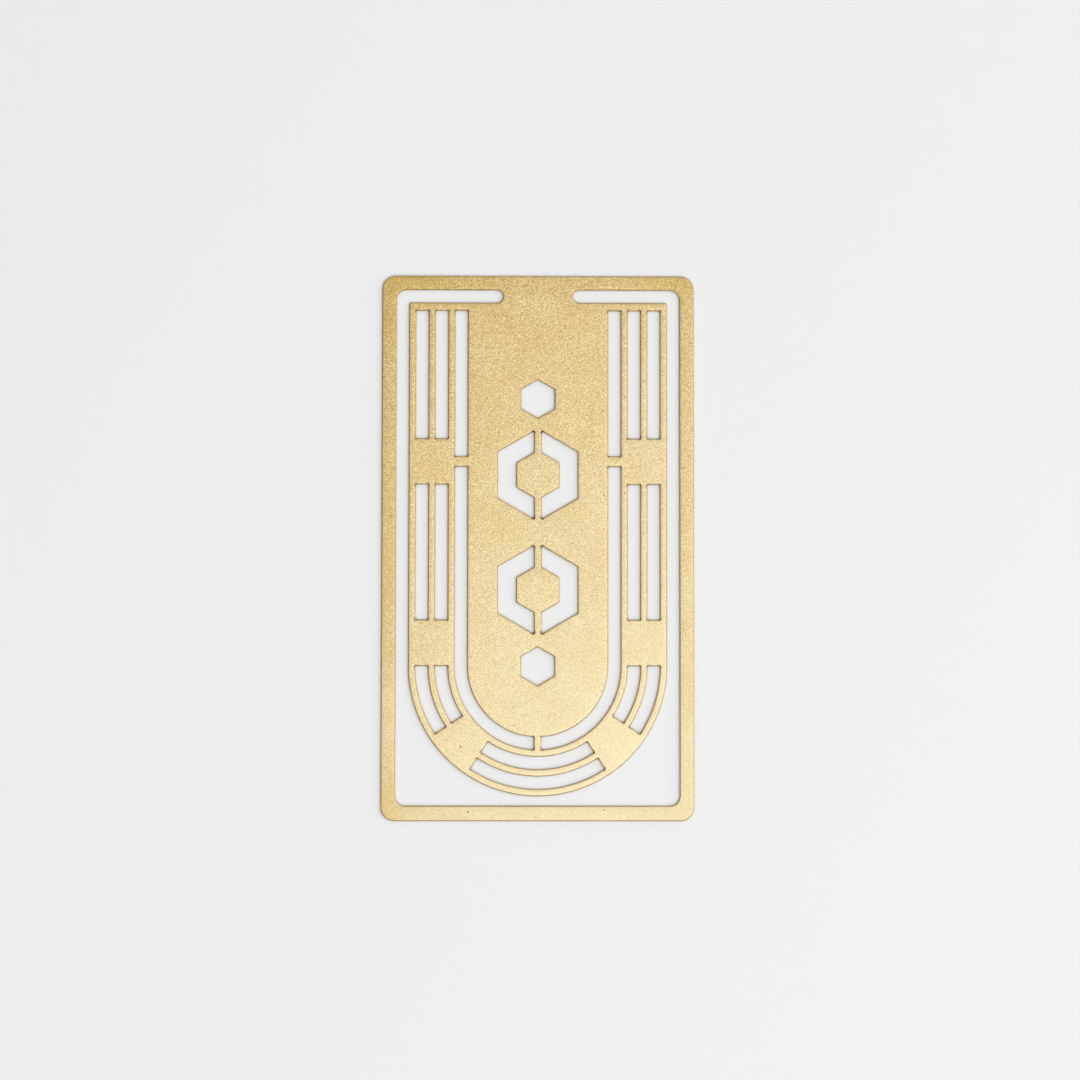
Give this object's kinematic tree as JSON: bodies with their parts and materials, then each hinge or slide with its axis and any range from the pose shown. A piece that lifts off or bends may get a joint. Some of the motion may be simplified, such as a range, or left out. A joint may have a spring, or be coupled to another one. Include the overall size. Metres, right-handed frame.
{
  "type": "bookmark",
  "caption": "Flat etched brass page bookmark: a slim rounded frame with a springy round-ended tongue, slotted along its rim and pierced with hexagons, that lifts to grip a page.",
  "frame": {"origin": "centre of the sheet's back face, which lies on the surface", "axes": "+X to the right and +Y towards the neck that the tongue hangs from, as the bookmark is seen from its front, and +Z out of its front face"},
  "size_m": [0.051, 0.089, 0.0004],
  "materials": {
    "brass": "matte, fine grained, with softly rounded etched edges"
  },
  "bodies": {
    "frame": {"bottom_rail": "brass", "left_rail": "brass", "right_rail": "brass", "left_torsion_strip": "brass", "right_torsion_strip": "brass"},
    "tongue": {"neck": "brass", "blade": "brass", "left_ladder": "brass", "right_ladder": "brass", "end_ladder": "brass"}
  },
  "joints": [
    {"name": "tongue_lift", "type": "hinge", "parent": "frame", "child": "tongue", "pos_m": [0, 0.0433, 0.0002], "axis": [-1, 0, 0], "range_deg": [0, 12], "stiffness_Nm_per_rad": 0.145, "deforming": ["left_torsion_strip", "right_torsion_strip"]}
  ]
}
